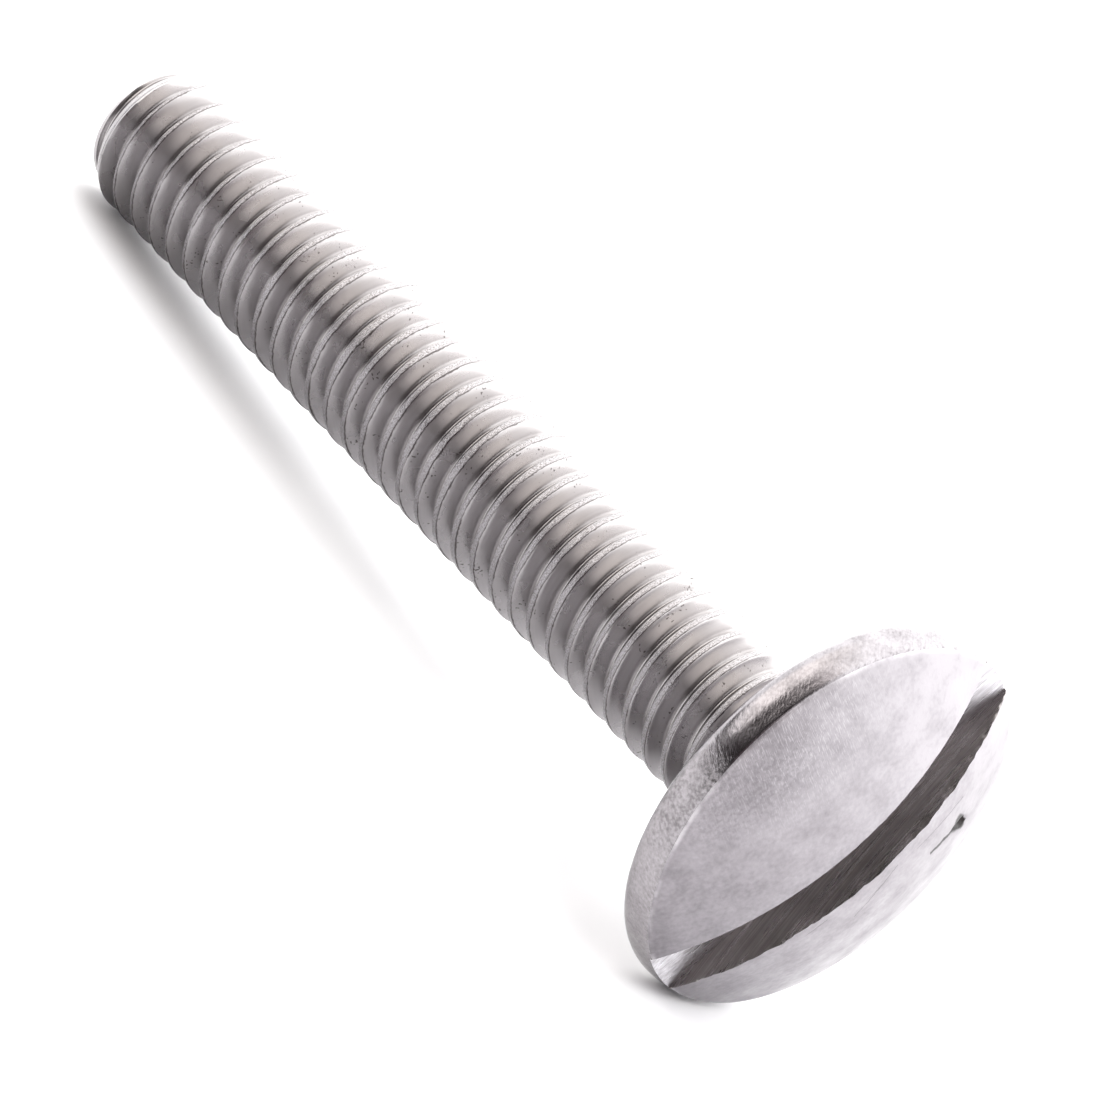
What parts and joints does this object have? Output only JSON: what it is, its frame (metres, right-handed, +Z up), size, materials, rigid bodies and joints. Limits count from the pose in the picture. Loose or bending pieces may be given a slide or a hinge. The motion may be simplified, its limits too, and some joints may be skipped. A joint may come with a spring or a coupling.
{
  "type": "slotted mushroom head screw",
  "caption": "Machine screw with a wide shallow domed head cut by a straight driver slot, and a right-hand metric thread rolled up to a short neck.",
  "frame": {"origin": "on the surface the screw lies on, under the middle of its bounding box", "axes": "+Z up, +X towards the head along the lying screw, which leans 6.9 degrees up to its head"},
  "size_m": [0.0272, 0.0098, 0.0097],
  "materials": {
    "steel": "plain austenitic stainless steel, satin head and smooth rolled thread"
  },
  "bodies": {
    "root": {"screw": "steel"}
  },
  "joints": []
}
